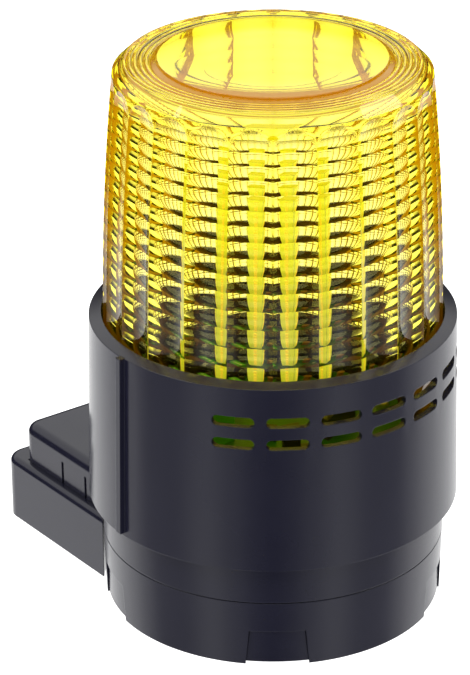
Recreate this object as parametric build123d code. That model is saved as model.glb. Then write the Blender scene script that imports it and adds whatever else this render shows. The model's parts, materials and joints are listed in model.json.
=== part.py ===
"""Amber flashing warning light on a wall bracket.

A round plastic base carries the electronics and a column of LED boards. The head (ring, sleeve
and fluted lens) drops over them and is locked to the base by a three-lug bayonet. A hollow arm
with a snap-on cover joins the base to a wall.

Millimetres, +Z up, origin on the light's axis in the plane it stands on. The front is -Y and the
wall is on the +Y side. An azimuth is counted from the front, positive towards +X.
"""

from build123d import *
from math import cos, radians, sin, sqrt
import os

# Driving dimensions: base and its bayonet spigot
base_r = 51.2
base_foot_r = 50.7
base_h = 20.6
base_wall = 2.4
floor_t = 3.0
shoulder_t = 3.0
spigot_r = 47.2
spigot_wall = 2.0
spigot_h = 9.0
lug_reach = 1.7
lug_t = 2.2
lug_deg = 14.0
lug_azimuths = (0, 120, 240)
twist_deg = 20.0

# Cable entries round the foot: plugs, and a grommet where the arm is
entry_azimuths = {
    "entry_plug_front_left": -36,
    "entry_plug_front_right": 36,
    "entry_plug_rear_left": -108,
    "entry_plug_rear_right": 108,
}
entry_top_w = 16.5
entry_foot_w = 18.7
entry_h = 11.2
entry_foot_gap = 0.8
entry_inset = 0.4
entry_depth = 0.8
entry_flange = 1.8
cable_r = 3.2
cable_z = 7.2

# Screw holes through the floor for mounting on a flat surface
mount_hole_r = 2.25
mount_dx = 68.0
mount_dy = 24.0
mount_boss_r = 5.0
mount_boss_h = 1.5

# Head: ring, lens seat and sleeve
ring_wall = 1.6
ring_h = 21.1
seat_rise = 3.6
seat_t = 3.0
seat_in_r = 43.0
sleeve_z = 33.6
sleeve_top_z = 90.6
sleeve_foot_r = 55.2
sleeve_top_r = 54.0
sleeve_wall = 2.0
rim_in_r = 50.4
rim_rise = 1.0
rim_t = 1.6
rib_w = 2.2
rib_proud = 1.6
rib_foot_gap = 1.2
hook_count = 6
hook_deg = 10.0
window_z = (73.6, 80.4)
window_h = 3.2
window_deg = 13.0
window_pitch = 16.5
window_columns = 7

# Lens
lens_base_r = 49.9
lens_taper_z = 84.0
lens_bow = 1.0
lens_shoulder_r = 45.7
lens_shoulder_z = 165.4
lens_deck_r = 42.4
lens_top_z = 169.5
lens_wall = 3.6
lens_step = 1.0
lens_flange_t = 2.6
lens_disc_r = 33.0
lens_ring_radii = (34.9, 36.5, 38.1, 39.7, 41.2)
lens_ring_groove = 0.35
flute_count = 24
flute_depth = 2.0
flute_foot_z = 80.0
flute_top_z = 165.9
prism_foot_z = 88.0
prism_count = 16
prism_top_pitch = 3.6
prism_foot_pitch = 6.0
prism_dish = 0.12

# Electronics and LED column
stand_leg = 7.0
stand_xy = 24.0
stand_top_z = 56.0
stand_plate = 2.4
stand_r = 38.0
board_r = 40.0
board_t = 1.6
column_turn = -50.0
column_half = 7.0
column_wall = 1.5
column_top_z = 134.0
core_foot_t = 3.0
core_screw_r = 3.0
led_board_w = 13.4
led_board_t = 1.2
led_count = 17
led_pitch = 4.1
led_w = 3.0
led_h = 2.8
led_t = 0.8

# Wall bracket
arm_half_w = 40.5
arm_h = 20.4
arm_wall = 3.4
arm_floor = 2.4
arm_deck = 2.4
arm_wall_y = 87.0
arm_corner_r = 6.0
arm_edge_r = 2.0
wall_hole_r = 2.25
wall_hole_dx = 56.0
wall_hole_z = 10.5
wall_slot_w = 22.0
wall_slot_h = 13.0
bracket_screw_x = 24.0
bracket_screw_z = 9.0
cover_half_w = 37.5
cover_wall = 2.0
cover_h = 12.8
cover_wall_y = 80.0
cover_corner_r = 5.0
cover_edge_r = 3.0
tongue_w = 11.4
tongue_y = 51.6
tongue_slot = 1.0
tongue_slot_h = 7.5
tongue_drop = 7.0
nib_out = 0.9
nib_h = 2.0

# Clearances and stock sizes
seam_gap = 0.3
run_gap = 0.3
fit_gap = 0.2
saddle_gap = 0.4
m3_r = 1.5
m3_head_r = 2.8
m3_head_h = 1.8
m2_r = 1.0
m2_head_r = 1.9
m2_head_h = 1.3
m4_r = 2.0
m4_head_r = 3.8
m4_head_h = 2.4
hole_gap = 0.15

# Worked-out sizes
base_in_r = base_r - base_wall
spigot_top_z = base_h + spigot_h
lug_top_z = spigot_top_z - 1.2
lug_z = lug_top_z - lug_t
seat_z = spigot_top_z + seat_rise + m3_head_h
head_z = base_h + seam_gap
ring_in_r = base_r - ring_wall
ring_top_z = head_z + ring_h
flange_r = spigot_r + run_gap
seat_top_z = seat_z + seat_t
seal_t = 1.2
lens_z = seat_top_z + seal_t
lens_in_r = lens_base_r - lens_wall
board_top_z = stand_top_z + board_t
saddle_r = base_r + saddle_gap
cover_z = arm_h
cover_top_z = arm_h + cover_h
half_flute = radians(180 / flute_count)


def around(azimuth):
    """Turn about Z that carries +X to an azimuth counted from the front."""
    return Rot(0, 0, azimuth - 90)


def turned(points, arc=360, middle=0):
    """Solid of revolution of a closed (radius, height) outline, centred on an azimuth."""
    outline = make_face(Plane.XZ * Polyline(*points, close=True))
    return around(middle - arc / 2) * revolve(outline, Axis.Z, arc)


def ring(r_in, r_out, z0, z1, arc=360, middle=0):
    """Plain ring, or a sector of one."""
    return turned([(r_in, z0), (r_out, z0), (r_out, z1), (r_in, z1)], arc, middle)


def disc(r, z0, z1, x=0, y=0):
    """Upright cylinder between two heights."""
    return Pos(x, y, z0) * Cylinder(r, z1 - z0, align=(Align.CENTER, Align.CENTER, Align.MIN))


def block(x0, x1, y0, y1, z0, z1):
    """Box from its limits."""
    return Pos((x0 + x1) / 2, (y0 + y1) / 2, (z0 + z1) / 2) * Box(x1 - x0, y1 - y0, z1 - z0)


def bar(r, length, x, y, z):
    """Cylinder lying along +Y from a starting point."""
    lying = Cylinder(r, length, align=(Align.CENTER, Align.CENTER, Align.MIN))
    return Pos(x, y, z) * Rot(-90, 0, 0) * lying


def screw(shank_r, length, head_r, head_h):
    """Pan-head screw along +Z: head below z = 0 and a cross recess in it, shank above."""
    recess = head_r * 0.5
    head = fillet(disc(head_r, -head_h, 0).edges().group_by(Axis.Z)[0], head_h * 0.35)
    cross = Box(recess * 2, recess * 0.4, head_h) + Box(recess * 0.4, recess * 2, head_h)
    return head - Pos(0, 0, -head_h) * cross + disc(shank_r, 0, length)


def entry_prism(grow, lift, r0, r1):
    """Radial bar of the cable entry's tapered outline, offset outwards by grow."""
    half_foot = entry_foot_w / 2 + grow
    half_top = entry_top_w / 2 + grow
    low, high = lift, entry_h + grow
    outline = Polyline((-half_foot, low), (half_foot, low), (half_top, high), (-half_top, high), close=True)
    bar_shape = extrude(Plane.YZ * make_face(outline), r1 - r0)
    return Pos(r0, 0, 0) * bar_shape


def make_base():
    """Cup-shaped foot with a shoulder, a bayonet spigot, notches for cables and screw holes."""
    body = turned([
        (0, 0), (base_foot_r, 0), (base_r, base_h), (spigot_r, base_h), (spigot_r, spigot_top_z),
        (spigot_r - spigot_wall, spigot_top_z), (spigot_r - spigot_wall, base_h - shoulder_t),
        (base_in_r, base_h - shoulder_t), (base_in_r, floor_t), (0, floor_t),
    ])
    for azimuth in lug_azimuths:
        body += ring(spigot_r - fit_gap, spigot_r + lug_reach, lug_z, lug_top_z, lug_deg, azimuth)
    body -= ring(gasket_in_r - fit_gap / 2, gasket_out_r + fit_gap / 2, base_h - gasket_seat, base_h + 1)
    for azimuth in (*entry_azimuths.values(), 180):
        body -= around(azimuth) * entry_prism(0, -1, base_in_r - entry_depth, base_r + 5)
    for x in (-mount_dx / 2, mount_dx / 2):
        for y in (-mount_dy / 2, mount_dy / 2):
            body += disc(mount_boss_r, floor_t, floor_t + mount_boss_h, x, y)
            body -= disc(mount_hole_r, -1, floor_t + mount_boss_h + 1, x, y)
    for x, y in stand_points:
        body -= disc(m3_r + hole_gap, -1, floor_t + 1, x, y)
        body -= disc(m3_head_r + fit_gap, -1, m3_head_h + 0.2, x, y)
    for x in (-bracket_screw_x, bracket_screw_x):
        pad = bar(bracket_pad_r, base_r - bracket_screw_y, x, bracket_screw_y, bracket_screw_z)
        body += pad & disc(base_in_r + 0.5, 0, base_h)
        body -= bar(m4_r + hole_gap, base_r, x, bracket_screw_y - 1, bracket_screw_z)
    return body


def make_entry_plug(azimuth, bore_r=0):
    """Push-in closure of a cable notch: a tapered face and a wider flange behind the wall."""
    face = ring(base_in_r - 0.5, base_foot_r - entry_inset, entry_foot_gap, entry_h, 60, 90)
    face &= entry_prism(-fit_gap, entry_foot_gap, base_in_r - entry_depth + fit_gap, base_r + 2)
    flange_z = floor_t + fit_gap
    flange = ring(base_in_r - 2, base_in_r - fit_gap, flange_z, entry_h + entry_flange, 60, 90)
    flange &= entry_prism(entry_flange, flange_z, base_in_r - 6, base_r)
    plug = face + flange
    if bore_r:
        plug -= Pos(base_in_r, 0, cable_z) * Rot(0, 90, 0) * Cylinder(bore_r, 20)
    return around(azimuth) * plug


def make_head_ring():
    """Ring the head turns on: bayonet flange with entry gaps and stops, and the lens seat."""
    ring_part = ring(ring_in_r, base_r, head_z, ring_top_z)
    flange_top_z = lug_z - run_gap
    ring_part += ring(flange_r, ring_in_r + fit_gap, head_z, flange_top_z)
    gap_deg = lug_deg + 4
    for azimuth in lug_azimuths:
        ring_part -= ring(flange_r - 1, ring_in_r, head_z - 1, flange_top_z + 1, gap_deg, azimuth - twist_deg)
        closed_stop = azimuth + lug_deg / 2 + 2
        open_stop = azimuth - twist_deg - lug_deg / 2 - 2
        for stop in (closed_stop, open_stop):
            ring_part += ring(stop_r, ring_in_r + fit_gap, flange_top_z - 1, lug_top_z, 3, stop)
    ring_part += ring(seat_in_r, ring_in_r + fit_gap, seat_z, seat_top_z)
    ring_part += turned([(base_r - fit_gap, bead_z), (base_r + 0.8, bead_z), (base_r - fit_gap, bead_z + 1.6)])
    for x, y in lens_screw_points:
        ring_part -= disc(m3_r + hole_gap, seat_z - 1, seat_top_z + 1, x, y)
    return ring_part


def make_sleeve():
    """Outer sleeve: flared skirt, inturned rim, side ribs, light windows and snap hooks."""
    ledge_z = ring_top_z + fit_gap
    in_foot_r = sleeve_foot_r - sleeve_wall
    in_top_r = sleeve_top_r - sleeve_wall
    sleeve = turned([
        (in_foot_r, sleeve_z), (sleeve_foot_r, sleeve_z), (sleeve_top_r, sleeve_top_z),
        (rim_in_r, sleeve_top_z + rim_rise), (rim_in_r, sleeve_top_z + rim_rise - rim_t),
        (in_top_r, sleeve_top_z - rim_t),
    ])
    sleeve += ring(lens_base_r + run_gap, in_foot_r - 0.1, ledge_z, ledge_z + 2)
    lean = (sleeve_foot_r - sleeve_top_r) / (sleeve_top_z - sleeve_z)
    rib_z = sleeve_z + rib_foot_gap
    rib_top_z = sleeve_top_z + 0.1
    rib_foot_r = sleeve_foot_r - lean * (rib_z - sleeve_z)
    rib = extrude(Plane.XZ * make_face(Polyline(
        (rib_foot_r - 1, rib_z), (rib_foot_r + rib_proud, rib_z),
        (sleeve_top_r + rib_proud, rib_top_z), (sleeve_top_r - 1, rib_top_z), close=True,
    )), rib_w / 2, both=True)
    for azimuth in (-90, 90):
        sleeve += around(azimuth) * rib
    for column in range(window_columns):
        azimuth = (column - (window_columns - 1) / 2) * window_pitch
        for z in window_z:
            sleeve -= around(azimuth) * window_cutter(z)
    hook_in_r = base_r + 1.0
    for k in range(hook_count):
        azimuth = 360 * k / hook_count + 30
        sleeve += ring(hook_in_r, hook_in_r + 0.9, bead_z - 2.6, ledge_z + 0.5, hook_deg, azimuth)
        sleeve += ring(base_r + 0.25, hook_in_r + 0.4, bead_z - 2.6, bead_z - 0.3, hook_deg, azimuth)
    return sleeve


def window_cutter(z):
    """Radial bar with round ends, which cuts one light window through the sleeve."""
    length = 2 * sleeve_top_r * sin(radians(window_deg / 2))
    pill = Plane.YZ * SlotOverall(length, window_h)
    return Pos(sleeve_top_r - 3, 0, z) * extrude(pill, 6)


def ridge_radius(z):
    """Radius of the lens's ridges at a height, on the bowed line up to the shoulder."""
    share = (z - lens_taper_z) / (lens_shoulder_z - lens_taper_z)
    chord = lens_base_r + share * (lens_shoulder_r - lens_base_r)
    return chord + 4 * lens_bow * share * (1 - share)


def flute_centre_radius(z):
    """Distance from the axis of the flute cutter's middle, so that neighbours meet at a ridge."""
    r = ridge_radius(z)
    return r * cos(half_flute) + sqrt(flute_r**2 - (r * sin(half_flute)) ** 2)


def flute_reach(z):
    """Height over which a flute's ball-shaped end runs out to the ridges."""
    return sqrt(flute_r**2 - (flute_centre_radius(z) - ridge_radius(z)) ** 2)


def make_lens():
    """Closed bell with flutes outside, hollow ring prisms inside and a raised disc on top."""
    skirt_r = ring_in_r - run_gap
    deck_z = lens_top_z - lens_step
    roof_z = lens_top_z - lens_wall
    bow_z = (lens_taper_z + lens_shoulder_z) / 2
    prism_zs = [prism_foot_z]
    for k in range(prism_count):
        share = k / (prism_count - 1)
        prism_zs.append(prism_zs[-1] + prism_foot_pitch + share * (prism_top_pitch - prism_foot_pitch))
    outline = Curve() + [
        Line((skirt_r, lens_z), (skirt_r, ring_top_z)),
        Line((skirt_r, ring_top_z), (lens_base_r, ring_top_z + 1.0)),
        Line((lens_base_r, ring_top_z + 1.0), (lens_base_r, lens_taper_z)),
        ThreePointArc((lens_base_r, lens_taper_z), (ridge_radius(bow_z), bow_z),
                      (lens_shoulder_r, lens_shoulder_z)),
        Line((lens_shoulder_r, lens_shoulder_z), (lens_deck_r, deck_z)),
        Line((lens_deck_r, deck_z), (lens_disc_r, deck_z)),
        Line((lens_disc_r, deck_z), (lens_disc_r, lens_top_z)),
        Line((lens_disc_r, lens_top_z), (0, lens_top_z)),
        Line((0, lens_top_z), (0, roof_z)),
    ]
    last_r = ridge_radius(prism_zs[-1]) - lens_wall
    outline += Line((0, roof_z), (last_r - 1.0, roof_z))
    outline += Line((last_r - 1.0, roof_z), (last_r, prism_zs[-1]))
    for low, high in zip(reversed(prism_zs[:-1]), reversed(prism_zs[1:])):
        top = (ridge_radius(high) - lens_wall, high)
        foot = (ridge_radius(low) - lens_wall, low)
        middle = ((top[0] + foot[0]) / 2 + prism_dish * (high - low), (low + high) / 2)
        outline += ThreePointArc(top, middle, foot)
    first_r = ridge_radius(prism_zs[0]) - lens_wall
    flange_top = lens_z + lens_flange_t
    outline += Line((first_r, prism_zs[0]), (lens_in_r, flange_top))
    outline += Line((lens_in_r, flange_top), (lens_screw_r - 2.2, flange_top))
    outline += Line((lens_screw_r - 2.2, flange_top), (lens_screw_r - 2.2, lens_z))
    outline += Line((lens_screw_r - 2.2, lens_z), (skirt_r, lens_z))
    lens = revolve(make_face(Plane.XZ * outline), Axis.Z)
    for r in lens_ring_radii:
        lens -= turned([(r - 0.5, deck_z + 0.5), (r, deck_z - lens_ring_groove), (r + 0.5, deck_z + 0.5)])
    end_z = flute_top_z - flute_reach(lens_shoulder_z)
    start_z = flute_foot_z + flute_reach(flute_foot_z)
    path = ThreePointArc(
        (flute_centre_radius(start_z), 0, start_z),
        (flute_centre_radius(bow_z), 0, bow_z),
        (flute_centre_radius(end_z), 0, end_z),
    )
    cutter = sweep(Plane(path @ 0, z_dir=path % 0) * Circle(flute_r), path)
    cutter += Pos(*(path @ 0)) * Sphere(flute_r) + Pos(*(path @ 1)) * Sphere(flute_r)
    for k in range(flute_count):
        lens -= around(360 * k / flute_count) * cutter
    for x, y in lens_screw_points:
        lens -= disc(m3_r + hole_gap, lens_z - 1, flange_top + 1, x, y)
    return lens


def make_stand():
    """Open plastic stool that holds the driver board above the base."""
    stand = ring(stand_r - 12, stand_r, stand_top_z - stand_plate, stand_top_z)
    for x, y in stand_points:
        half = stand_leg / 2
        stand += block(x - half, x + half, y - half, y + half, floor_t, stand_top_z)
        stand -= disc(m3_r + hole_gap, floor_t - 1, floor_t + 10, x, y)
        stand -= disc(m3_r + hole_gap, stand_top_z - 9, stand_top_z + 1, x, y)
    return stand


def make_driver_board():
    """Round circuit board with screw holes and a cable slot at its rear edge."""
    board = disc(board_r, stand_top_z, board_top_z)
    board -= block(-9, 9, board_r - 7, board_r + 5, stand_top_z - 1, board_top_z + 1)
    for x, y in stand_points:
        board -= disc(m3_r + hole_gap, stand_top_z - 1, board_top_z + 1, x, y)
    for x, y in core_points:
        board -= disc(m2_r + hole_gap, stand_top_z - 1, board_top_z + 1, x, y)
    return board


def make_terminal_block():
    """Two-tier screw terminal housing with wire mouths and screw wells."""
    block_w = terminal_ways * terminal_pitch
    housing = block(-block_w / 2, block_w / 2, 0, 12, board_top_z, board_top_z + 10)
    housing += block(-block_w / 2, block_w / 2, 3.2, 12, board_top_z + 10, board_top_z + 14)
    for x in terminal_xs:
        housing -= block(x - 1.9, x + 1.9, -1, 9, board_top_z + 1.2, board_top_z + 5.4)
        housing -= disc(1.9, board_top_z + 5, board_top_z + 15, x, 7.6)
    return terminal_place * housing


def make_core():
    """Hollow square post with a screwed foot; the LED boards lie on its four faces."""
    half, low, high = column_half, board_top_z, column_top_z
    post = block(-half, half, -half, half, low, high)
    inner = half - column_wall
    post -= block(-inner, inner, -inner, inner, low - 1, high + 1)
    post += block(-inner - 0.1, inner + 0.1, -inner - 0.1, inner + 0.1, low, low + core_foot_t)
    post = Rot(0, 0, column_turn) * post
    for x, y in core_points:
        post -= disc(m2_r + hole_gap, low - 1, low + core_foot_t + 1, x, y)
    return post


def make_cap():
    """Lid on the post, with a spigot inside it and a lip over the boards' ends."""
    lip = column_half + led_board_t + 0.3
    cap = fillet(block(-lip, lip, -lip, lip, column_top_z, column_top_z + 2).edges().group_by(Axis.Z)[-1], 0.8)
    inner = column_half - column_wall - fit_gap
    cap += block(-inner, inner, -inner, inner, column_top_z - 5, column_top_z)
    return Rot(0, 0, column_turn) * cap


def led_face(k):
    """Place of one face of the column: +X points out of the face."""
    return Rot(0, 0, column_turn + 90 * k)


def make_led_board(k):
    """Narrow LED board on one face of the post."""
    half_w = led_board_w / 2
    face = column_half
    return led_face(k) * block(face, face + led_board_t, -half_w, half_w, board_top_z + 1, column_top_z - 0.3)


def make_leds(k):
    """Row of surface-mounted LEDs with domed lenses on one board."""
    face = column_half + led_board_t
    leds = []
    for n in range(led_count):
        z = column_top_z - 3.5 - n * led_pitch
        chip = block(face, face + led_t, -led_w / 2, led_w / 2, z - led_h / 2, z + led_h / 2)
        chip = chamfer(chip.edges().group_by(Axis.X)[-1], 0.25)
        leds.append(led_face(k) * chip)
    return Compound(children=leds)


def saddle_cut(radius):
    """Upright cylinder that leaves room for the round body."""
    return disc(radius, -5, arm_h + cover_h + 5)


def make_arm():
    """Open-topped hollow arm: concave end at the base, flat plate with screw holes at the wall."""
    arm = block(-arm_half_w, arm_half_w, 0, arm_wall_y, 0, arm_h)
    corners = arm.edges().filter_by(Axis.Z).group_by(Axis.Y)[-1]
    arm = fillet(corners, arm_corner_r)
    arm = fillet(arm.edges().group_by(Axis.Z)[-1].sort_by(Axis.Y)[1:], arm_edge_r)
    inner = arm_half_w - arm_wall
    hollow = block(-inner, inner, 0, arm_wall_y - arm_wall, arm_floor, arm_h - arm_deck)
    hollow = fillet(hollow.edges().filter_by(Axis.Z).group_by(Axis.Y)[-1], arm_corner_r - arm_wall)
    hollow += block(-inner, inner, 0, cover_wall_y - cover_wall, arm_floor, arm_h + 1)
    arm -= hollow - saddle_cut(saddle_r + arm_floor)
    arm -= saddle_cut(saddle_r)
    half_slot = wall_slot_w / 2
    slot_foot = wall_hole_z - wall_slot_h / 2
    arm -= block(-half_slot, half_slot, arm_wall_y - 10, arm_wall_y + 5, slot_foot, slot_foot + wall_slot_h)
    half_entry = entry_top_w / 2
    arm -= block(-half_entry, half_entry, saddle_r - 3, saddle_r + 8, arm_floor, entry_h)
    for x in (-wall_hole_dx / 2, wall_hole_dx / 2):
        arm -= bar(wall_hole_r, 20, x, arm_wall_y - 10, wall_hole_z)
    for side in (-1, 1):
        x = side * bracket_screw_x
        boss = bar(m4_r + 2.6, boss_end_y - base_r / 2, x, base_r / 2, bracket_screw_z)
        arm += boss - saddle_cut(saddle_r + 0.5)
        arm -= bar(m4_r + hole_gap, boss_end_y - 5, x, 0, bracket_screw_z)
        y0, y1 = tongue_y - tongue_w / 2 - 0.5, tongue_y + tongue_w / 2 + 0.5
        pocket = sorted((side * (inner - 1), side * (inner + nib_out + fit_gap)))
        arm -= block(*pocket, y0, y1, nib_z - fit_gap, nib_z + nib_h + fit_gap)
    return arm


def make_cover():
    """Lid of the arm: five-sided shell with two spring tongues that catch inside the arm."""
    cover = block(-cover_half_w, cover_half_w, 0, cover_wall_y, cover_z, cover_top_z)
    cover = fillet(cover.edges().filter_by(Axis.Z).group_by(Axis.Y)[-1], cover_corner_r)
    cover = fillet(cover.edges().group_by(Axis.Z)[-1].sort_by(Axis.Y)[1:], cover_edge_r)
    inner = cover_half_w - cover_wall
    hollow = block(-inner, inner, 0, cover_wall_y - cover_wall, cover_z - 1, cover_top_z - cover_wall)
    cover -= hollow - saddle_cut(saddle_r + fit_gap + cover_wall)
    cover -= saddle_cut(saddle_r + fit_gap)
    tongue_out = arm_half_w - arm_wall - fit_gap
    for side in (-1, 1):
        for edge in (-1, 1):
            y = tongue_y + edge * (tongue_w + tongue_slot) / 2
            xs = sorted((side * (inner - 1), side * (cover_half_w + 1)))
            half = tongue_slot / 2
            cover -= block(*xs, y - half, y + half, cover_z - 1, cover_z + tongue_slot_h)
        y0, y1 = tongue_y - tongue_w / 2, tongue_y + tongue_w / 2
        leaf = sorted((side * (tongue_out - cover_wall), side * tongue_out))
        cover += block(*leaf, y0, y1, cover_z - tongue_drop, cover_z + 0.8)
        root = sorted((side * (tongue_out - cover_wall), side * (cover_half_w - 0.5)))
        cover += block(*root, y0, y1, cover_z, cover_z + 0.8)
        nib = sorted((side * (tongue_out - 0.5), side * (tongue_out + nib_out)))
        cover += block(*nib, y0, y1, nib_z, nib_z + nib_h)
    return cover


# Places that several pieces share
gasket_in_r = ring_in_r - 0.2
gasket_out_r = base_r - 1.0
gasket_seat = 0.6
gasket_t = 0.8
stop_r = spigot_r + lug_reach - 0.7
bead_z = ring_top_z - 4.0
lens_screw_r = seat_in_r + 2.3
lens_screw_points = [
    (lens_screw_r * sin(radians(a)), lens_screw_r * cos(radians(a))) for a in (45, 135, 225, 315)
]
stand_points = [(x, y) for x in (-stand_xy, stand_xy) for y in (-stand_xy, stand_xy)]
core_points = [
    (side * core_screw_r * cos(radians(column_turn)), side * core_screw_r * sin(radians(column_turn)))
    for side in (-1, 1)
]
chord_half = lens_base_r * sin(half_flute)
chord_drop = flute_depth - lens_base_r * (1 - cos(half_flute))
flute_r = (chord_half**2 + chord_drop**2) / (2 * chord_drop)
bracket_pad_r = m4_head_r + 1.0
bracket_screw_y = sqrt(base_in_r**2 - (bracket_screw_x + bracket_pad_r) ** 2) - 0.5
boss_end_y = saddle_r + 10.0
nib_z = cover_z - tongue_drop + 1.0
terminal_ways = 4
terminal_pitch = 5.08
terminal_xs = [(n - (terminal_ways - 1) / 2) * terminal_pitch for n in range(terminal_ways)]
terminal_place = around(-90) * Pos(34, 0, 0) * Rot(0, 0, 90)


def on_board(azimuth, r, piece, turn=0):
    """Put a piece that is modelled at the origin on top of the driver board."""
    return around(azimuth) * Pos(r, 0, board_top_z) * Rot(0, 0, turn) * piece


def lifted(piece_h, *size):
    """Box that stands on z = 0."""
    return Pos(0, 0, piece_h / 2) * Box(*size, piece_h)


def make_capacitor():
    """Electrolytic can with a rolled-in neck and a dark insulating sleeve."""
    can = disc(5, 0, 20)
    can -= turned([(5.2, 1.6), (4.5, 2.2), (5.2, 2.8)])
    return fillet(can.edges().group_by(Axis.Z)[-1], 0.8)


def make_choke():
    """Drum-core choke: two flanges and the winding between them."""
    return disc(6, 0, 1.5) + disc(5, 1.5, 8.5) + disc(6, 8.5, 10)


def make_fuse():
    """Round plug-in fuse."""
    return fillet(disc(4.2, 0, 7.5).edges().group_by(Axis.Z)[-1], 0.6)


def make_jumper():
    """Two-pin selector header with its bridge, for flashing or steady light."""
    return lifted(2.5, 7.6, 2.5) + Pos(-1.27, 0, 2.5) * lifted(6, 5, 2.4)


def make_rectifier():
    """Bridge rectifier in a flat moulded case."""
    return chamfer(lifted(6, 15, 4).edges().group_by(Axis.Z)[-1], 0.5)


def screws_at(points, z, piece, up=1):
    """Same screw at several points; up = -1 turns it over."""
    flip = Rot(0, 0, 0) if up > 0 else Rot(180, 0, 0)
    return Compound(children=[Pos(x, y, z) * flip * piece for x, y in points])


m3 = screw(m3_r, 7.0, m3_head_r, m3_head_h)
m4 = screw(m4_r, 12.0, m4_head_r, m4_head_h)
m2 = screw(m2_r, 4.0, m2_head_r, m2_head_h)
terminal_screw = Rot(180, 0, 0) * screw(1.2, 1.5, 1.7, 1.0)

nodes = {
    "base": make_base(),
    "cable_grommet": make_entry_plug(180, cable_r),
    "seam_gasket": ring(gasket_in_r, gasket_out_r, base_h - gasket_seat, base_h - gasket_seat + gasket_t),
    "bracket_arm": make_arm(),
    "bracket_cover": make_cover(),
    "bracket_screws": Compound(children=[
        Pos(x, bracket_screw_y, bracket_screw_z) * Rot(-90, 0, 0) * m4
        for x in (-bracket_screw_x, bracket_screw_x)
    ]),
    "board_stand": make_stand(),
    "stand_screws": screws_at(stand_points, m3_head_h + 0.2, m3),
    "driver_board": make_driver_board(),
    "board_screws": screws_at(stand_points, board_top_z, m3, -1),
    "terminal_block": make_terminal_block(),
    "terminal_screws": Compound(children=[
        terminal_place * Pos(x, 7.6, board_top_z + 12.5) * terminal_screw for x in terminal_xs
    ]),
    "terminal_clamps": Compound(children=[
        terminal_place * block(x - 1.7, x + 1.7, 1, 8.6, board_top_z + 1.4, board_top_z + 2.4)
        for x in terminal_xs
    ]),
    "bulk_capacitor_1": on_board(130, 22, make_capacitor()),
    "bulk_capacitor_2": on_board(162, 22, make_capacitor()),
    "choke": on_board(75, 25, make_choke()),
    "fuse": on_board(-160, 22, make_fuse()),
    "bridge_rectifier": on_board(15, 24, make_rectifier(), 90),
    "mode_jumper": on_board(-25, 30, make_jumper(), 90),
    "driver_chip": on_board(-40, 20, lifted(1.6, 5, 4)),
    "led_core": make_core(),
    "core_screws": screws_at(core_points, stand_top_z, m2),
    "core_cap": make_cap(),
    "head_ring": make_head_ring(),
    "lens_seal": ring(lens_screw_r + m3_r + 0.6, ring_in_r - fit_gap, seat_top_z, lens_z),
    "lens": make_lens(),
    "lens_screws": screws_at(lens_screw_points, seat_z, screw(m3_r, 6.0, m3_head_r, m3_head_h)),
    "sleeve": make_sleeve(),
}
for name, azimuth in entry_azimuths.items():
    nodes[name] = make_entry_plug(azimuth)
for k in range(4):
    nodes[f"led_board_{k + 1}"] = make_led_board(k)
    nodes[f"leds_{k + 1}"] = make_leds(k)

os.makedirs("parts", exist_ok=True)
for name, piece in nodes.items():
    export_step(piece, f"parts/{name}.step")
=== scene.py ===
"""Looks of an amber flashing warning light on a wall bracket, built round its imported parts.

Metres, +Z up, front at -Y, wall at +Y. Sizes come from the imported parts' boxes.
"""

import json

import bmesh
import bpy
import numpy as np
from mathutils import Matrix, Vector


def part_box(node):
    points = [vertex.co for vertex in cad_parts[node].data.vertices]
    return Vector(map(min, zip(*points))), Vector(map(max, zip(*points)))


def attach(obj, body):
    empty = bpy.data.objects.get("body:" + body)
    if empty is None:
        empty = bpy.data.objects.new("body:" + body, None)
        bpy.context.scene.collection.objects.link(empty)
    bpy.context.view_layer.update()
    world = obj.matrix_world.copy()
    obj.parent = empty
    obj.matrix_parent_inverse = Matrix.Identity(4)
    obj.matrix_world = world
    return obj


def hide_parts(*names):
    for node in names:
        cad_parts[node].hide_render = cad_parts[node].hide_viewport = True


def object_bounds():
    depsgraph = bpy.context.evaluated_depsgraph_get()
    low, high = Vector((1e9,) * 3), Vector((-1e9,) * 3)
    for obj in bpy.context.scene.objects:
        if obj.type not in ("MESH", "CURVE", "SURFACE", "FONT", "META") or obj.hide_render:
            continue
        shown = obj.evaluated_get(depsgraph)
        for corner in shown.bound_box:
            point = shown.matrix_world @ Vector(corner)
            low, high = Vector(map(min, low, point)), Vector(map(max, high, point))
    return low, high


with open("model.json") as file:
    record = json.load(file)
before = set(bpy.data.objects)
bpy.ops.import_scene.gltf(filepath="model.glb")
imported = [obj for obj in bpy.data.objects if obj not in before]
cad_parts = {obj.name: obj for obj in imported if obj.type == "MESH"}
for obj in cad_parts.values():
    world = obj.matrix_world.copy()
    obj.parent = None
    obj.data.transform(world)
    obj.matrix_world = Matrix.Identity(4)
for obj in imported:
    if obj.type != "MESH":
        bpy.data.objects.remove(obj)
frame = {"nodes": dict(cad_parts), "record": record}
cad_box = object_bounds()
nodes = frame["nodes"]
MM = 0.001


# ---------------------------------------------------------------------------------------------
# Studio: a pale, evenly lit floor under a soft ceiling, dark round the horizon, with white and
# dark screens low down that the gloss of the plastic reflects, and the camera.
# ---------------------------------------------------------------------------------------------
STUDIO_FLOOR_SIZE = 6.0
CAMERA_AZIMUTH = -37.5
CAMERA_ELEVATION = 25.36
CAMERA_DISTANCE = 0.9236
CAMERA_AIM_Z = 0.0814
LENS_MM = 167.2
FRAME_SHIFT_X = -0.0562


def direction(azimuth, elevation):
    """Unit vector of a compass direction: azimuth from -Y towards +X, elevation from level."""
    a, e = np.radians([azimuth, elevation])
    return np.array([np.sin(a) * np.cos(e), -np.cos(a) * np.cos(e), np.sin(e)])


def aim(obj, place, target):
    """Put an object at a place with its -Z axis on a target and its X axis level."""
    line = Vector(target) - Vector(place)
    obj.location = place
    obj.rotation_euler = line.to_track_quat("-Z", "Y").to_euler()


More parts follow.
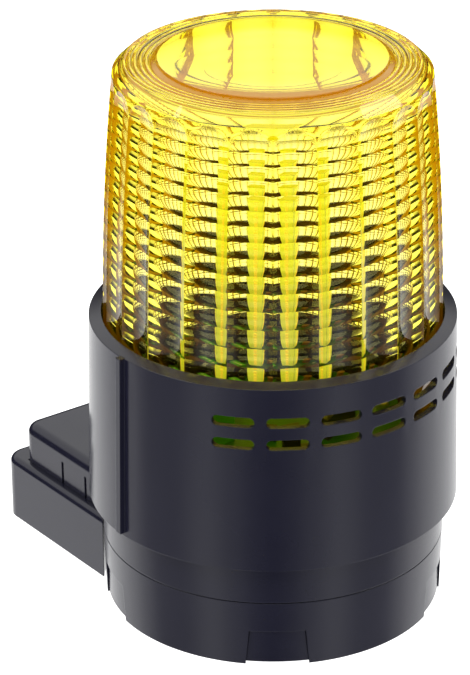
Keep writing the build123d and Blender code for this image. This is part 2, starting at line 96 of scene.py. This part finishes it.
def node_tree(name):
    """New material with an empty node tree; returns it and a function that adds linked nodes."""
    material = bpy.data.materials.new(name)
    material.use_nodes = True
    material.node_tree.nodes.clear()
    return material, adder(material.node_tree)


def adder(tree):
    """Function that adds a node: plain values set sockets, (node, output) pairs link to them."""
    def add(kind, inputs=None, **settings):
        node = tree.nodes.new(kind)
        for key, value in settings.items():
            setattr(node, key, value)
        for key, value in (inputs or {}).items():
            if isinstance(value, tuple) and isinstance(value[0], bpy.types.Node):
                tree.links.new(value[0].outputs[value[1]], node.inputs[key])
            else:
                node.inputs[key].default_value = value
        return node
    return add


camera = bpy.data.objects.new("camera", bpy.data.cameras.new("camera"))
bpy.context.scene.collection.objects.link(camera)
camera.data.lens = LENS_MM
camera.data.sensor_width = 36.0
camera.data.shift_x = FRAME_SHIFT_X
camera.data.clip_end = 50.0
aim_point = np.array([0.0, 0.0, CAMERA_AIM_Z])
aim(camera, aim_point + CAMERA_DISTANCE * direction(CAMERA_AZIMUTH, CAMERA_ELEVATION), aim_point)
bpy.context.scene.camera = camera
bpy.context.scene.view_settings.view_transform = "Standard"

floor_mesh = bpy.data.meshes.new("floor")
half_floor = STUDIO_FLOOR_SIZE / 2
floor_mesh.from_pydata(
    [(x, y, cad_box[0][2]) for x, y in
     ((-half_floor, -half_floor), (half_floor, -half_floor), (half_floor, half_floor),
      (-half_floor, half_floor))],
    [], [(0, 1, 2, 3)],
)
floor = bpy.data.objects.new("floor", floor_mesh)
bpy.context.scene.collection.objects.link(floor)
floor_material, add = node_tree("studio_floor")
floor_paint = add("ShaderNodeBsdfDiffuse", {"Color": (0.4, 0.4, 0.4, 1)})
floor_glow = add("ShaderNodeEmission", {"Color": (1, 1, 1, 1), "Strength": 1.3})
floor_shader = add("ShaderNodeAddShader", {0: (floor_paint, 0), 1: (floor_glow, 0)})
add("ShaderNodeOutputMaterial", {"Surface": (floor_shader, 0)})
floor_mesh.materials.append(floor_material)
floor.visible_glossy = False

# Brightness of the low screens against the angle from the camera's side, in half turns.
SCREEN_STOPS = ((0.0, 0.0), (0.067, 0.12), (0.133, 0.42), (0.23, 0.85), (0.36, 0.36), (0.456, 0.36),
                (0.544, 0.85), (0.6, 1.25), (0.7, 1.4), (1.0, 1.3))
SCREEN_FULL = -0.385
SCREEN_TOP = -0.335
CEILING_FOOT = 0.24
CEILING_FULL = 0.44


def ramp(add, factor, stops):
    """Colour ramp of greys from (position, brightness) stops, which gives half the brightness."""
    node = add("ShaderNodeValToRGB", {"Fac": factor})
    node.color_ramp.interpolation = "EASE"
    elements = node.color_ramp.elements
    while len(elements) < len(stops):
        elements.new(0.5)
    for element, (position, value) in zip(elements, stops):
        element.position = position
        element.color = (value / 2, value / 2, value / 2, 1)
    return node


world = bpy.data.worlds.new("studio_surround")
world.use_nodes = True
world.node_tree.nodes.clear()
bpy.context.scene.world = world
add = adder(world.node_tree)
sky_direction = add("ShaderNodeTexCoord")
parts = add("ShaderNodeSeparateXYZ", {0: (sky_direction, "Generated")})
level = add("ShaderNodeCombineXYZ", {"X": (parts, "X"), "Y": (parts, "Y")})
level_unit = add("ShaderNodeVectorMath", {0: (level, 0)}, operation="NORMALIZE")
towards_camera = add("ShaderNodeVectorMath", {0: (level_unit, 0), 1: tuple(direction(CAMERA_AZIMUTH, 0))},
                     operation="DOT_PRODUCT")
turn = add("ShaderNodeMath", {0: (towards_camera, "Value")}, operation="ARCCOSINE")
half_turns = add("ShaderNodeMath", {0: (turn, 0), 1: np.pi}, operation="DIVIDE")
screens = ramp(add, (half_turns, 0), SCREEN_STOPS)
below = add("ShaderNodeMapRange", {
    "Value": (parts, "Z"), "From Min": SCREEN_FULL, "From Max": SCREEN_TOP, "To Min": 2.0, "To Max": 0.0,
}, interpolation_type="SMOOTHSTEP")
ceiling = add("ShaderNodeMapRange", {
    "Value": (parts, "Z"), "From Min": CEILING_FOOT, "From Max": CEILING_FULL, "To Min": 0.02, "To Max": 1.1,
}, interpolation_type="SMOOTHSTEP")
low_light = add("ShaderNodeMath", {0: (screens, 0), 1: (below, 0)}, operation="MULTIPLY")
all_light = add("ShaderNodeMath", {0: (low_light, 0), 1: (ceiling, 0)}, operation="ADD")
light_path = add("ShaderNodeLightPath")
seen = add("ShaderNodeMix", {"Factor": (light_path, "Is Camera Ray"), 2: (all_light, 0), 3: 1.0},
           data_type="FLOAT")
surround = add("ShaderNodeBackground", {"Color": (1.0, 1.0, 1.0, 1), "Strength": (seen, 0)})
add("ShaderNodeOutputWorld", {"Surface": (surround, 0)})


def soft_light(name, azimuth, elevation, distance, size, watts):
    """Square area light aimed at the middle of the object."""
    light = bpy.data.lights.new(name, "AREA")
    light.size = size
    light.energy = watts
    lamp = bpy.data.objects.new(name, light)
    bpy.context.scene.collection.objects.link(lamp)
    aim(lamp, aim_point + distance * direction(azimuth, elevation), aim_point)
    return lamp


soft_light("left_light", -110, 40, 1.0, 0.5, 2.0)
soft_light("right_light", 60, 40, 1.0, 0.5, 2.0)


# ---------------------------------------------------------------------------------------------
# Base: the moulded foot in blue-black ABS with notches for cables, the head ring, the bracket and
# the plugs in the same plastic. The tools for surfaces and moulded plastic start here.
# ---------------------------------------------------------------------------------------------
def surface(name, points, body, material, replaces):
    """Mesh of a grid of points (u, v, 3) that is closed both ways: quads between neighbours (i, j),
    (i + 1, j), (i + 1, j + 1), (i, j + 1), doubled corners at poles merged."""
    nu, nv = points.shape[:2]
    i, j = np.arange(nu)[:, None], np.arange(nv)[None, :]
    i1, j1 = (i + 1) % nu, (j + 1) % nv
    quads = np.stack([i * nv + j, i1 * nv + j, i1 * nv + j1, i * nv + j1], -1).reshape(-1, 4)
    return piece(name, points.reshape(-1, 3), quads, body, material, replaces)


def piece(name, vertices, faces, body, material, replaces):
    """Object from vertices and faces: doubles merged, normals outwards, smooth, riding on a body."""
    mesh = bpy.data.meshes.new(name)
    mesh.from_pydata(vertices.tolist(), [], faces.tolist())
    work = bmesh.new()
    work.from_mesh(mesh)
    bmesh.ops.remove_doubles(work, verts=work.verts, dist=1e-6)
    bmesh.ops.dissolve_degenerate(work, edges=work.edges, dist=1e-7)
    bmesh.ops.recalc_face_normals(work, faces=work.faces)
    work.to_mesh(mesh)
    work.free()
    mesh.polygons.foreach_set("use_smooth", np.ones(len(mesh.polygons), bool))
    mesh.set_sharp_from_angle(angle=np.radians(40))
    mesh.materials.append(material)
    obj = bpy.data.objects.new(name, mesh)
    bpy.context.scene.collection.objects.link(obj)
    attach(obj, body)
    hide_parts(*replaces)
    return obj


def lathe(profile, angles):
    """Grid of a profile (r, z) turned about Z: point = (r sin a, -r cos a, z)."""
    r, z = profile[None, :, 0], profile[None, :, 1]
    a = angles[:, None]
    return np.stack([r * np.sin(a), -r * np.cos(a), z + 0 * a], -1)


def moulded_group():
    """Shader group for moulded surfaces: slow mottling of a colour, a fine grain as a
    height, and a roughness that drifts with the mottling."""
    group = bpy.data.node_groups.new("moulded_surface", "ShaderNodeTree")
    socket = group.interface.new_socket
    socket("Colour", in_out="INPUT", socket_type="NodeSocketColor")
    for label, value in (("Mottle", 0.1), ("Grain Scale", 2500.0), ("Roughness", 0.4), ("Drift", 0.1)):
        socket(label, in_out="INPUT", socket_type="NodeSocketFloat").default_value = value
    socket("Colour", in_out="OUTPUT", socket_type="NodeSocketColor")
    socket("Roughness", in_out="OUTPUT", socket_type="NodeSocketFloat")
    socket("Height", in_out="OUTPUT", socket_type="NodeSocketFloat")
    add = adder(group)
    given = add("NodeGroupInput")
    place = add("ShaderNodeTexCoord")
    slow = add("ShaderNodeTexNoise", {"Vector": (place, "Object"), "Scale": 60.0, "Detail": 3.0})
    grain = add("ShaderNodeTexNoise", {"Vector": (place, "Object"), "Scale": (given, "Grain Scale"),
                                       "Detail": 2.0})
    centred = add("ShaderNodeMath", {0: (slow, "Fac"), 1: 0.5}, operation="SUBTRACT")
    mottle = add("ShaderNodeMath", {0: (centred, 0), 1: (given, "Mottle")}, operation="MULTIPLY")
    gain = add("ShaderNodeMath", {0: (mottle, 0), 1: 1.0}, operation="ADD")
    colour = add("ShaderNodeVectorMath", {0: (given, "Colour"), "Scale": (gain, 0)}, operation="SCALE")
    drift = add("ShaderNodeMath", {0: (centred, 0), 1: (given, "Drift"), 2: (given, "Roughness")},
                operation="MULTIPLY_ADD")
    add("NodeGroupOutput", {"Colour": (colour, 0), "Roughness": (drift, 0), "Height": (grain, "Fac")})
    return group


MOULDED = moulded_group()
EDGE_RADIUS = 0.35 * MM


def moulded(name, colour, roughness, grain=2500.0, bump=0.02, mottle=0.25, drift=0.1, **constants):
    """Plastic, rubber or metal skin: the moulded_surface group under one Principled shader."""
    material, add = node_tree(name)
    skin = add("ShaderNodeGroup", node_tree=MOULDED)
    for key, value in (("Colour", (*colour, 1)), ("Mottle", mottle), ("Grain Scale", grain),
                       ("Roughness", roughness), ("Drift", drift)):
        skin.inputs[key].default_value = value
    eased = add("ShaderNodeBevel", {"Radius": EDGE_RADIUS}, samples=6)
    relief = add("ShaderNodeBump", {"Height": (skin, "Height"), "Strength": bump, "Distance": 0.0002,
                                    "Normal": (eased, 0)})
    shader = add("ShaderNodeBsdfPrincipled", {
        "Base Color": (skin, "Colour"), "Roughness": (skin, "Roughness"), "Normal": (relief, 0),
        **{key.replace("_", " "): value for key, value in constants.items()},
    })
    add("ShaderNodeOutputMaterial", {"Surface": (shader, 0)})
    return material


BLUE_BLACK = (0.0108, 0.0108, 0.0225)
abs_plastic = moulded("blue_black_plastic", BLUE_BLACK, 0.2)
plugs = [name for name in nodes if name.startswith("entry_plug")]
for name in ("base", "head_ring", "bracket_arm", "bracket_cover", *plugs):
    nodes[name].data.materials.clear()
    nodes[name].data.materials.append(abs_plastic)


# ---------------------------------------------------------------------------------------------
# Lens: one injection-moulded bell in clear amber polycarbonate. Outside it has concave flutes
# that end in arches under the shoulder and start below the sleeve's rim, inside a stack of
# ring-shaped concave prisms.
# ---------------------------------------------------------------------------------------------
lens_low, lens_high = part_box("lens")
FLUTES = 24
FLUTE_DEPTH = 2.0 * MM
FLUTE_FOOT_Z = 80.0 * MM
FLUTE_TOP_Z = 165.9 * MM
TAPER_Z = 84.0 * MM
RIDGE_FOOT_R = lens_high[0]
RIDGE_TOP_R = 45.7 * MM
RIDGE_TOP_Z = 165.4 * MM
RIDGE_BOW = 1.0 * MM
DECK_R = 42.4 * MM
DECK_Z = lens_high[2] - 1.0 * MM
DISC_R = 33.0 * MM
RING_RADII = (41.2, 39.7, 38.1, 36.5, 34.9)
LENS_WALL = 3.6 * MM
PRISMS = 16
PRISM_FOOT_Z = 88.0 * MM
PRISM_PITCH = (6.0 * MM, 3.6 * MM)
PRISM_DISH = 0.12
COLUMNS_PER_FLUTE = 14
SKIRT_R = 49.3 * MM
TAB_R = 43.1 * MM
BORE_R = 46.3 * MM
FLANGE_T = 2.6 * MM
PLAIN_Z = 60 * MM
ROOF_R = 20 * MM
FINE_ZONE = 8.0 * MM
FINE_STEP = 0.4 * MM
COARSE_STEP = 3 * MM


def ridge_radius(z):
    """Radius of the ridges: a straight line from foot to shoulder plus a parabolic bow."""
    share = (z - TAPER_Z) / (RIDGE_TOP_Z - TAPER_Z)
    return RIDGE_FOOT_R + share * (RIDGE_TOP_R - RIDGE_FOOT_R) + 4 * RIDGE_BOW * share * (1 - share)


def fluted(r, z, angle):
    """Radius after the flutes: the nearer of the plain radius and a cutter circle whose centre
    lies outside, so that neighbouring circles meet at a ridge; past its ends the cutter is a ball."""
    half = np.pi / FLUTES
    chord = RIDGE_FOOT_R * np.sin(half)
    drop = FLUTE_DEPTH - RIDGE_FOOT_R * (1 - np.cos(half))
    cutter = (chord**2 + drop**2) / (2 * drop)

    def centre_and_reach(height):
        ridge = ridge_radius(height)
        centre = ridge * np.cos(half) + np.sqrt(cutter**2 - (ridge * np.sin(half))**2)
        return centre, np.sqrt(cutter**2 - (centre - ridge)**2)

    top_z = FLUTE_TOP_Z - centre_and_reach(RIDGE_TOP_Z)[1]
    foot_z = FLUTE_FOOT_Z + centre_and_reach(FLUTE_FOOT_Z)[1]
    centre = centre_and_reach(np.clip(z, foot_z, top_z))[0]
    past = np.maximum(z - top_z, 0) + np.maximum(foot_z - z, 0)
    local = (angle + half) % (2 * half) - half
    inside = cutter**2 - past**2 - (centre * np.sin(local))**2
    cut = centre * np.cos(local) - np.sqrt(np.maximum(inside, 0))
    return np.minimum(r, np.where(inside > 0, cut, 1.0))


def arc_points(start, end, sag, steps):
    """Points on a parabola between two (r, z) points, pushed sideways by sag at its middle."""
    start, end = np.array(start), np.array(end)
    t = np.linspace(0, 1, steps, endpoint=False)[:, None]
    side = np.array([end[1] - start[1], start[0] - end[0]])
    side /= np.linalg.norm(side)
    return start + t * (end - start) + 4 * sag * t * (1 - t) * side


def lens_outline():
    """Closed (r, z) outline of the lens, outer side upwards and inner side downwards, and how many
    of its points belong to the outer side."""
    flange_top = lens_low[2] + FLANGE_T
    outer = [np.array([[SKIRT_R, lens_low[2]], [SKIRT_R, flange_top], [RIDGE_FOOT_R, flange_top + 1.2 * MM],
                       [RIDGE_FOOT_R, PLAIN_Z]])]
    foot_z = np.arange(FLUTE_FOOT_Z - FINE_STEP, TAPER_Z + 0.1 * MM, FINE_STEP)
    outer.append(np.stack([RIDGE_FOOT_R + 0 * foot_z, foot_z], -1))
    z = np.concatenate([np.arange(TAPER_Z + FINE_STEP, FLUTE_FOOT_Z + FINE_ZONE, FINE_STEP),
                        np.arange(FLUTE_FOOT_Z + FINE_ZONE + 2 * MM, FLUTE_TOP_Z - FINE_ZONE, COARSE_STEP),
                        np.arange(FLUTE_TOP_Z - FINE_ZONE, RIDGE_TOP_Z - 0.1 * MM, 0.35 * MM)])
    outer.append(np.stack([ridge_radius(z), z], -1))
    bevel = np.linspace(0, 1, 10)[:, None] * [DECK_R - RIDGE_TOP_R, DECK_Z - RIDGE_TOP_Z]
    outer.append(np.array([RIDGE_TOP_R, RIDGE_TOP_Z]) + bevel[:-1])
    outer.append(np.array([[DECK_R + 0.15 * MM, DECK_Z - 0.15 * MM], [DECK_R, DECK_Z - 0.03 * MM],
                           [DECK_R - 0.25 * MM, DECK_Z]]))
    groove = np.array([[0.4, 0], [0.12, -0.22], [0, -0.33], [-0.12, -0.22], [-0.4, 0]]) * MM
    for r in RING_RADII:
        outer.append(np.array([r * MM, DECK_Z]) + groove)
    top = lens_high[2]
    outer.append(np.array([[DISC_R + 0.2 * MM, DECK_Z], [DISC_R, DECK_Z + 0.15 * MM],
                           [DISC_R - 0.03 * MM, top - 0.3 * MM], [DISC_R - 0.2 * MM, top - 0.06 * MM],
                           [DISC_R - 0.5 * MM, top], [ROOF_R, top], [0, top]]))
    outer = np.concatenate(outer)
    pitches = np.linspace(*PRISM_PITCH, PRISMS)
    cusp_z = PRISM_FOOT_Z + np.concatenate([[0], np.cumsum(pitches)])
    cusp_r = ridge_radius(cusp_z) - LENS_WALL
    roof = top - LENS_WALL
    inner = [np.array([[0, roof], [ROOF_R, roof], [DISC_R, roof], [cusp_r[-1] - 1.2 * MM, roof],
                       [cusp_r[-1] - 0.8 * MM, roof - 0.12 * MM]])]
    for k in range(PRISMS, 0, -1):
        inner.append(arc_points((cusp_r[k], cusp_z[k]), (cusp_r[k - 1], cusp_z[k - 1]),
                                -PRISM_DISH * pitches[k - 1], 6))
    inner.append(np.array([[cusp_r[0], cusp_z[0]], [BORE_R, PLAIN_Z], [BORE_R, flange_top + 0.4 * MM],
                           [BORE_R - 0.4 * MM, flange_top], [TAB_R, flange_top], [TAB_R, lens_low[2]]]))
    return np.concatenate([outer, *inner]), len(outer)


def flute_angles():
    """Angles round the lens, closer together near the ridges: half-flute times the sine of a
    quarter turn on each side of the flute's middle."""
    t = np.linspace(-1, 1, COLUMNS_PER_FLUTE, endpoint=False)
    local = np.pi / FLUTES * np.sin(np.pi / 2 * t)
    middles = 2 * np.pi * np.arange(FLUTES)[:, None] / FLUTES
    return (middles + local).ravel()


def amber(name, tint, density, roughness, ior):
    """Clear amber plastic: refracting skin and absorbing body. Shadow and diffuse rays pass
    straight through, tinted, so that lamps light what is inside. Rays past two glossy bounces
    see a painted glow instead: orange-amber emission, stronger towards the top, standing in
    for light guided along the wall by several reflections."""
    material, add = node_tree(name)
    glass = add("ShaderNodeBsdfPrincipled", {"Base Color": (1.0, 0.97, 0.80, 1), "Roughness": roughness,
                                             "IOR": ior, "Transmission Weight": 1.0, "Metallic": 0.0})
    clear = add("ShaderNodeBsdfTransparent", {"Color": tint})
    light_path = add("ShaderNodeLightPath")
    passing = add("ShaderNodeMath", {0: (light_path, "Is Shadow Ray"), 1: (light_path, "Is Diffuse Ray")},
                  operation="MAXIMUM")
    # Painted glow: rays past two glossy bounces take an orange-amber emission, stronger higher up.
    guided = add("ShaderNodeMath", {0: (light_path, "Glossy Depth"), 1: 2.5}, operation="GREATER_THAN")
    place = add("ShaderNodeNewGeometry")
    height = add("ShaderNodeSeparateXYZ", {0: (place, "Position")})
    lit = add("ShaderNodeMapRange", {"Value": (height, "Z"), "From Min": PAINTED_GLOW_Z[0], "From Max": PAINTED_GLOW_Z[1],
                                     "To Min": 0.1, "To Max": 0.85}, interpolation_type="SMOOTHSTEP")
    painted_glow = add("ShaderNodeEmission", {"Color": AMBER_PAINTED_GLOW, "Strength": (lit, 0)})
    glass_or_painted_glow = add("ShaderNodeMixShader", {"Fac": (guided, 0), 1: (glass, 0), 2: (painted_glow, 0)})
    skin = add("ShaderNodeMixShader", {"Fac": (passing, 0), 1: (glass_or_painted_glow, 0), 2: (clear, 0)})
    body = add("ShaderNodeVolumeAbsorption", {"Color": tint, "Density": density})
    add("ShaderNodeOutputMaterial", {"Surface": (skin, 0), "Volume": (body, 0)})
    return material


AMBER_TINT = (0.993, 0.962, 0.10, 1)
# Painted glow of the lens: its emission colour and the heights over which it strengthens.
AMBER_PAINTED_GLOW = (0.80, 0.48, 0.03, 1)
PAINTED_GLOW_Z = (85 * MM, 135 * MM)
AMBER_DENSITY = 420.0
outline, outer_count = lens_outline()
angles = flute_angles()
points = lathe(outline, angles)
plain = np.broadcast_to(outline[None, :outer_count, 0], (len(angles), outer_count))
cut = fluted(plain, outline[None, :outer_count, 1], angles[:, None])
scale = np.where(plain > 0, cut / np.maximum(plain, 1e-9), 1.0)
points[:, :outer_count, :2] *= scale[..., None]
amber_plastic = amber("amber_polycarbonate", AMBER_TINT, AMBER_DENSITY, 0.02, 1.58)
surface("lens_bell", points, "head", amber_plastic, replaces=("lens",))


# ---------------------------------------------------------------------------------------------
# Sleeve: flared blue-black skirt with an inturned rim, two raised ribs and two rows of light
# windows round the front, in the base's plastic.
# ---------------------------------------------------------------------------------------------
nodes["sleeve"].data.materials.clear()
nodes["sleeve"].data.materials.append(abs_plastic)


# ---------------------------------------------------------------------------------------------
# Electronics: circuit boards in solder mask, moulded component cases, zinc-plated screws and the
# aluminium post that carries the LED boards.
# ---------------------------------------------------------------------------------------------
rubber = moulded("black_rubber", (0.02, 0.02, 0.02), 0.7, 1800.0, 0.08)
zinc = moulded("zinc_steel", (0.62, 0.63, 0.66), 0.35, 4000.0, 0.04, Metallic=1.0)
nylon = moulded("black_nylon", (0.03, 0.03, 0.032), 0.5, 1500.0, 0.05)
green_mask = moulded("green_solder_mask", (0.008, 0.07, 0.025), 0.3, 900.0, 0.02)
green_case = moulded("green_nylon", (0.05, 0.30, 0.05), 0.45, 1500.0, 0.04)
aluminium = moulded("extruded_aluminium", (0.72, 0.73, 0.74), 0.4, 3000.0, 0.05, Metallic=1.0)
white_case = moulded("white_nylon", (0.8, 0.8, 0.77), 0.5, 1500.0, 0.04)
# LED board solder mask with a painted glow: a yellow emission, though the board is no lamp.
white_mask_painted_glow = moulded("white_solder_mask_painted_glow", (0.74, 0.80, 0.30), 0.35, 900.0, 0.02,
                     Emission_Color=(0.80, 0.84, 0.12, 1), Emission_Strength=0.35)
# LED packages with a painted glow: an amber emission, though the light is not switched on.
phosphor_painted_glow = moulded("led_phosphor_with_painted_glow", (0.95, 0.66, 0.12), 0.3, 2500.0, 0.02,
                   Emission_Color=(1.0, 0.72, 0.12, 1), Emission_Strength=0.45)
can_sleeve = moulded("capacitor_sleeve", (0.03, 0.04, 0.09), 0.25, 2500.0, 0.01)
copper = moulded("enamelled_copper", (0.16, 0.07, 0.03), 0.35, 900.0, 0.3)
black_case = moulded("black_component", (0.02, 0.02, 0.022), 0.45, 1500.0, 0.05)
FINISHES = {
    "black_rubber": rubber, "zinc_steel": zinc, "black_nylon": nylon, "green_board": green_mask,
    "green_nylon": green_case, "core_aluminium": aluminium, "white_plastic": white_case,
    "led_board_white": white_mask_painted_glow, "led_package": phosphor_painted_glow, "capacitor_sleeve": can_sleeve,
    "copper_winding": copper, "black_component": black_case,
}
for subpart in frame["record"]["subparts"]:
    finish = FINISHES.get(subpart["material_slot"])
    if finish:
        nodes[subpart["node"]].data.materials.clear()
        nodes[subpart["node"]].data.materials.append(finish)
